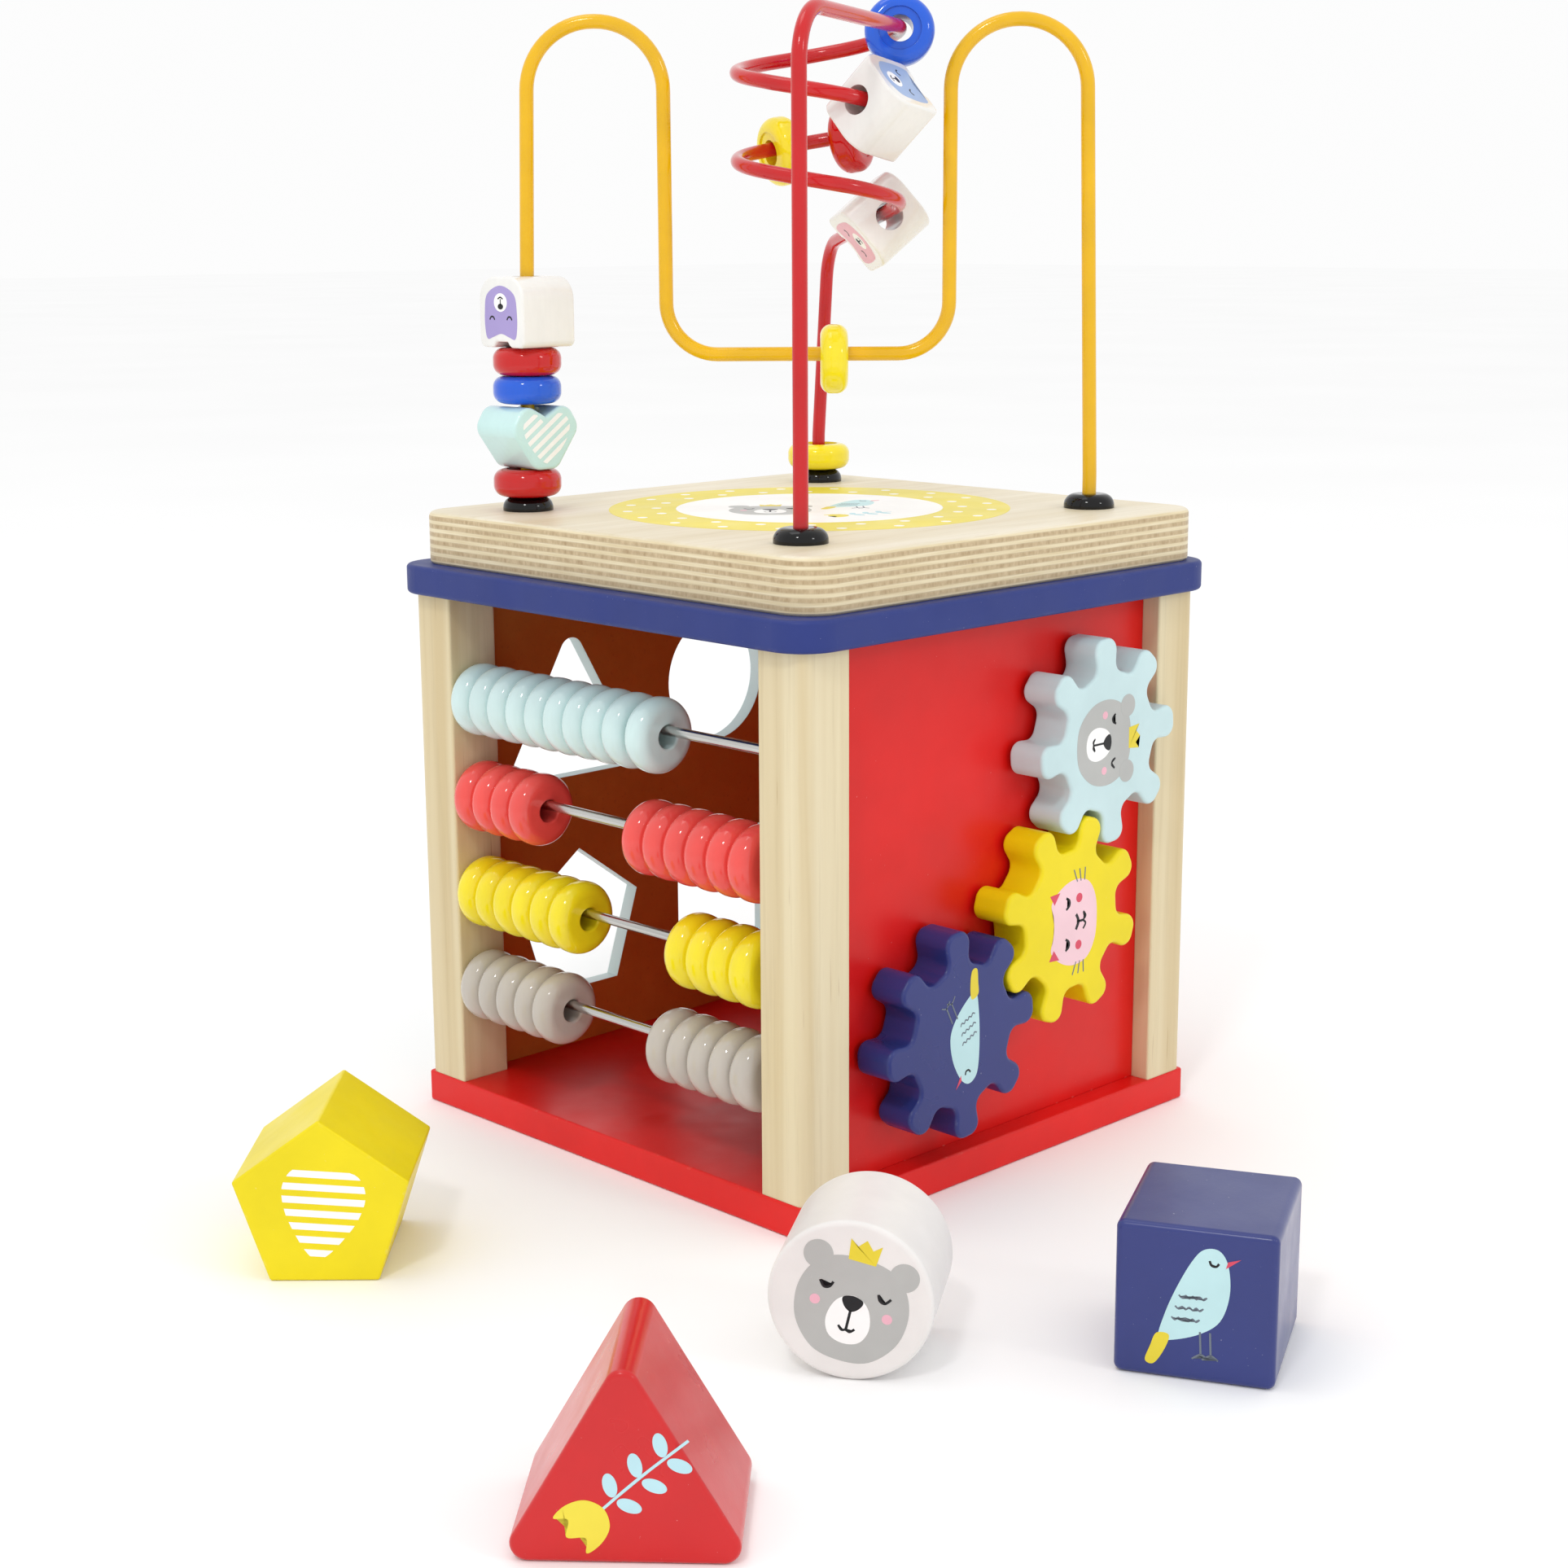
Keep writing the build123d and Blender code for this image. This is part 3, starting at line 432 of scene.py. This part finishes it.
def printed(name, body, origin, right, up, shapes):
    """Thin closed flakes of ink on a face, one object for each colour."""
    right, up = Vector(right).normalized(), Vector(up).normalized()
    out = right.cross(up)
    origin = Vector(origin)
    for ink in sorted({shape[0] for shape in shapes}):
        form = bmesh.new()
        for _, layer, outline in (shape for shape in shapes if shape[0] == ink):
            if area_of(outline) < 0:
                outline = outline[::-1]
            flat = [origin + (right * x + up * y) * MM for x, y in outline]
            low = [form.verts.new(p - out * ink_sunk) for p in flat]
            high = [form.verts.new(p + out * (ink_thick + ink_step * layer)) for p in flat]
            form.faces.new(low[::-1])
            form.faces.new(high)
            for n in range(len(flat)):
                m = (n + 1) % len(flat)
                form.faces.new((low[n], low[m], high[m], high[n]))
        bmesh.ops.triangulate(form, faces=[f for f in form.faces if len(f.verts) > 4])
        mesh = bpy.data.meshes.new(f"{name}_{ink}")
        form.to_mesh(mesh)
        form.free()
        mesh.materials.append(inks[ink])
        piece = bpy.data.objects.new(f"{name}_{ink}", mesh)
        scene.collection.objects.link(piece)
        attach(piece, body)


def bear():
    outline = smooth([(0, 14.6), (-8.5, 13.2), (-14.0, 8.4), (-16.4, 0.6), (-14.8, -8.4), (-8.5, -15.6),
                      (0, -17.4), (8.5, -15.6), (14.8, -8.4), (16.4, 0.6), (14.0, 8.4), (8.5, 13.2)])
    shapes = [("grey", 0, outline),
              ("grey", 1, ellipse(-12.6, 12.4, 4.3)), ("grey", 1, ellipse(12.6, 12.4, 4.3)),
              ("white", 1, smooth([(0, 3), (-4.6, 0.4), (-6.4, -5.5), (-4.6, -10.4), (0, -12),
                                   (4.6, -10.4), (6.4, -5.5), (4.6, 0.4)])),
              ("black", 2, smooth([(-3, 1.8), (0, 2.9), (3, 1.8), (2.2, -0.6), (0, -2.0), (-2.2, -0.6)])),
              ("black", 2, stroke([(0, -1.6), (0, -7.6)], 0.8)),
              ("black", 2, stroke([(-2.4, -6.9), (-1.2, -8.1), (0, -7.7), (1.2, -8.1), (2.4, -6.9)], 0.7)),
              ("blush", 1, ellipse(-10.6, -1.2, 1.5)), ("blush", 1, ellipse(10.6, -1.2, 1.5)),
              ("gold", 1, [(-4.0, 13.4), (4.0, 13.4), (4.6, 19.6), (2.3, 17.6), (0, 20.2), (-2.3, 17.6),
                           (-4.6, 19.6)])]
    for s in (-1, 1):
        lash = [(s * 6.6, 5.4), (s * 7.4, 3.7), (s * 9, 3.3), (s * 10.4, 5.0)]
        shapes.append(("black", 2, stroke(lash, 0.75)))
    return shapes


def cat():
    outline = smooth([(-9, 12.4), (-13.6, 7), (-15.6, 0), (-14, -7.4), (-8, -11.6), (0, -12.6), (8, -11.6),
                      (14, -7.4), (15.6, 0), (13.6, 7), (9, 12.4), (4, 11.4), (0, 11), (-4, 11.4)])
    shapes = [("pink", 0, outline),
              ("rose", 1, ellipse(-8.6, -2.6, 1.7)), ("rose", 1, ellipse(8.6, -2.6, 1.7)),
              ("black", 1, stroke([(-2.8, -1.0), (0, -2.4), (2.8, -1.0)], 1.2)),
              ("black", 1, stroke([(0, -2.2), (0, -5.0)], 0.9)),
              ("black", 1, stroke([(-3.2, -5.0), (-1.4, -6.4), (0, -5.2), (1.4, -6.4), (3.2, -5.0)], 0.8))]
    for s in (-1, 1):
        shapes.append(("rose", 1, [(s * 8.2, 11.0), (s * 12.2, 8.0), (s * 11.8, 13.4)]))
        lash = [(s * 5.4, 4.6), (s * 6.6, 2.8), (s * 8.4, 2.8), (s * 9.6, 4.6)]
        shapes.append(("black", 1, stroke(lash, 0.9)))
        for k in (-1, 0, 1):
            shapes.append(("slate", 1, stroke([(s * 14.6, -3.4 + 2 * k), (s * 19.2, -2.6 + 3.1 * k)], 0.5)))
    return shapes


def bird():
    body = smooth([(9.0, 13.0), (6.2, 17.6), (1.6, 17.4), (-2.0, 13.0), (-6.4, 4.0), (-9.6, -4.6),
                   (-11.2, -12.0), (-7.0, -12.2), (1.0, -9.4), (7.0, -4.6), (9.6, 4.0)])
    shapes = [("mint", 0, body),
              ("gold", 1, smooth([(-11.8, -10.6), (-8.0, -10.8), (-9.4, -15.8), (-12.4, -20.4),
                                  (-15.0, -19.6), (-13.6, -15.0)])),
              ("rose", 1, [(8.8, 14.4), (12.6, 15.6), (8.2, 12.2)]),
              ("black", 1, stroke([(3.4, 14.2), (4.0, 12.8), (5.4, 12.6), (6.2, 13.6)], 0.7))]
    for row in range(3):
        points = [(-5.4 + row * -1.0 + 1.05 * n, 2.4 - 3.6 * row - (0.9 if n % 2 else 0)) for n in range(9)]
        shapes.append(("slate", 1, stroke(points, 0.5, cuts=3)))
    for x in (1.2, 4.2):
        shapes.append(("slate", 1, stroke([(x, -8.6), (x + 0.4, -16.0)], 0.6)))
        shapes.append(("slate", 1, stroke([(x - 2.2, -17.4), (x + 0.4, -15.8), (x + 2.6, -17.2)], 0.5)))
    return shapes


def tulip():
    """Flower at the left end of a stem that runs to the right."""
    shapes = [("sky", 0, stroke([(-10, 0), (4, 0.4), (21, 0)], 0.8)),
              ("lemon", 1, smooth([(-9.4, 0), (-11.6, 5.0), (-16.6, 7.2), (-21.6, 6.6), (-18.8, 3.6),
                                   (-22.6, 0.2), (-18.8, -3.4), (-21.6, -6.8), (-16.6, -7.2), (-11.6, -5.0)]))]
    for x in (-3.0, 6.0, 15.0):
        for s in (-1, 1):
            shapes.append(("sky", 1, ellipse(x - 0.6, s * 3.9, 3.5, 1.9, 62 * s)))
    return shapes


def striped_heart(width, height, count, slope):
    """Bars cut to a heart's outline, sloping by degrees."""
    fill = 0.52
    outline = smooth([(0, 0.30), (0.22, 0.50), (0.42, 0.44), (0.50, 0.20), (0.36, -0.16), (0, -0.52),
                      (-0.36, -0.16), (-0.50, 0.20), (-0.42, 0.44), (-0.22, 0.50)], cuts=10)
    outline = [(x * width, y * height) for x, y in outline]
    c, s = cos(radians(slope)), sin(radians(slope))
    local = [(c * x + s * y, c * y - s * x) for x, y in outline]
    low, high = min(p[1] for p in local), max(p[1] for p in local)
    pitch = (high - low) / count

    def reach(v):
        hits = []
        for a, b in zip(local, local[1:] + local[:1]):
            if (a[1] - v) * (b[1] - v) < 0:
                hits.append(a[0] + (b[0] - a[0]) * (v - a[1]) / (b[1] - a[1]))
        return (min(hits), max(hits)) if len(hits) > 1 else None

    shapes = []
    for n in range(count):
        rows = [low + pitch * (n + 0.5 + fill * (k / 4 - 0.5)) for k in range(5)]
        ends = [(v, reach(v)) for v in rows if reach(v)]
        if len(ends) < 2:
            continue
        bar = [(e[0], v) for v, e in ends] + [(e[1], v) for v, e in reversed(ends)]
        shapes.append(("white", 0, [(c * x - s * y, s * x + c * y) for x, y in bar]))
    return shapes


def little_face(ink):
    """Small bear face of one colour for a head-shaped bead."""
    shapes = [(ink, 0, smooth([(-8.8, 6.0), (-7.6, 9.2), (-4.6, 8.6), (0, 7.4), (4.6, 8.6), (7.6, 9.2),
                               (8.8, 6.0), (8.9, 0), (7.4, -6.2), (0, -9.2), (-7.4, -6.2), (-8.9, 0)])),
              ("white", 1, ellipse(0, -3.4, 3.6, 3.2)), ("black", 2, ellipse(0, -2.0, 1.5, 1.0)),
              ("black", 2, stroke([(0, -2.4), (0, -4.6)], 0.5)),
              ("black", 2, stroke([(-1.4, -4.6), (0, -5.2), (1.4, -4.6)], 0.5))]
    for s in (-1, 1):
        lash = [(s * 3.4, 2.6), (s * 4.2, 1.6), (s * 5.4, 1.6), (s * 6.2, 2.6)]
        shapes.append(("black", 1, stroke(lash, 0.6)))
    return shapes


gear_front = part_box("gear_yellow")[0][1]
for name, body, place, shapes in (
        ("mint_gear_print", "mint_gear", (0.04105, 0.14585), turned(bear(), -90, 0.92, (-2.2, 0))),
        ("yellow_gear_print", "yellow_gear", (0.022, 0.0858), turned(cat(), 90, 0.98, (1.0, -1.0))),
        ("blue_gear_print", "blue_gear", (-0.03393, 0.05681), turned(bird(), 204, 0.92, (1, 0)))):
    printed(name, body, (place[0], gear_front, place[1]), (1, 0, 0), (0, 0, 1), shapes)


def block_face(x, y, turn):
    """A standing block's face from the millimetres of its lowest middle point and its heading in degrees."""
    return (x * MM, y * MM, 0), (cos(radians(turn)), sin(radians(turn)), 0), (0, 0, 1)


printed("cube_print", "cube_block", *block_face(-92.8, -247.8, -62.9), turned(bird(), 0, 0.95, (0.5, 23.5)))
printed("pentagon_print", "pentagon_block", *block_face(-225.9, -13.6, -44.5),
        turned(striped_heart(26, 29, 7, 4), -8, 1.0, (0, 22)))
printed("triangle_print", "triangle_block", *block_face(-272.7, -209.8, -47.2),
        turned(tulip(), 41, 0.92, (1.5, 20.5)))
printed("cylinder_print", "cylinder_block", *block_face(-160.8, -178.5, -55.7),
        turned(bear(), -13, 1.0, (0.5, 23)))


def middle_of(node):
    low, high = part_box(node)
    return (Vector(low) + Vector(high)) / 2


head_half_depth = 0.01175
violet_face = middle_of("head_violet") - Vector((head_half_depth, 0, 0))
printed("violet_head_print", "leg_head", violet_face, (0, 1, 0), (0, 0, -1), little_face("violet"))

joints = {joint["name"]: joint for joint in frame["joints"]}
blue_hole = Vector(joints["helix_head_turn"]["axis"])
blue_middle = Vector(joints["helix_head_turn"]["pos_m"])
blue_side = radians(-85)             # direction from the helix's axis to the blue head
outward = Vector((cos(blue_side), sin(blue_side), 0))
upward = outward.cross(blue_hole).normalized()
upward = -upward if upward.z < 0 else upward
facing = (outward + upward).normalized()
printed("blue_head_print", "helix_head", blue_middle + facing * head_half_depth,
        -facing.cross(blue_hole), blue_hole, little_face("cloud"))

pink_hole = Vector(joints["run_head_slide"]["axis"])
pink_middle = Vector((0.038571, -0.00119266, 0.32201))
pink_lean = radians(50)              # from straight down towards the wire's near side
beside = pink_hole.cross(Vector((0, 0, 1))).normalized()
above = beside.cross(pink_hole).normalized()
facing = (beside * -sin(pink_lean) - above * cos(pink_lean)).normalized()
printed("pink_head_print", "run_head", pink_middle + facing * head_half_depth,
        -facing.cross(pink_hole), pink_hole, little_face("blush"))

heart_face = middle_of("heart_mint")
heart_face.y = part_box("heart_mint")[0].y
printed("heart_print", "leg_heart", heart_face, (1, 0, 0), (0, 0, 1), striped_heart(21, 17, 6, 35))

# printed ring on the lid
ring_middle = (0.005, 0.002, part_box("lid_block")[1].z)
ring_inner, ring_outer, ring_cuts = 48, 72, 96
ring_shapes = []
for n in range(ring_cuts):
    a, b = 2 * pi * n / ring_cuts, 2 * pi * (n + 1) / ring_cuts
    ring_shapes.append(("lemon", 0, [(radius * cos(angle), radius * sin(angle)) for radius, angle in
                                     ((ring_inner, a), (ring_outer, a), (ring_outer, b), (ring_inner, b))]))
ring_shapes.append(("white", 0, ellipse(0, 0, 47.9, count=ring_cuts)))
dots = 40
for n in range(dots):
    a = 2 * pi * n / dots
    radius = 65.5 if n % 2 else 55.0
    ring_shapes.append(("white", 1, ellipse(radius * cos(a), radius * sin(a), 1.8, count=20)))
for picture, turn, scale, shift in ((bear(), 0, 0.9, (-14, -8)), (bird(), 0, 0.8, (16, 10)),
                                    (tulip(), 30, 0.6, (18, -22))):
    ring_shapes += turned([(ink, layer + 1, outline) for ink, layer, outline in picture], turn, scale, shift)
printed("lid_print", "lid", ring_middle, (cam_x.x, cam_x.y, 0), (-cam_x.y, cam_x.x, 0), ring_shapes)

# clock dial on the far side
dial = [("lemon", 0, ellipse(0, 0, 62, count=96)), ("white", 1, ellipse(0, 0, 56, count=96))]
for n in range(60):
    a = radians(90 - 6 * n)
    inner, width = (47, 1.6) if n % 5 == 0 else (50.5, 0.8)
    mark = [(inner * cos(a), inner * sin(a)), (53 * cos(a), 53 * sin(a))]
    dial.append(("slate", 2, stroke(mark, width, cuts=1)))
dial_height = 0.102
dial_middle = (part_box("clock_panel")[1].x, 0, dial_height)
printed("dial_print", "cube", dial_middle, (0, 1, 0), (0, 0, 1), dial)

# ------------------------------------------------------------------ floor

bpy.ops.mesh.primitive_plane_add(size=30, location=(0, 0, -0.0001))
floor = bpy.context.object
floor.name = "floor"
t = Tree("floor_paper", rough=1.0, spec=0.0)
t.color(t.mix(t.ramp(t.noise(2, 2), 0.3, 0.7), lin("#fcfcfc"), lin("#fefefe")))
floor.data.materials.append(t.material)
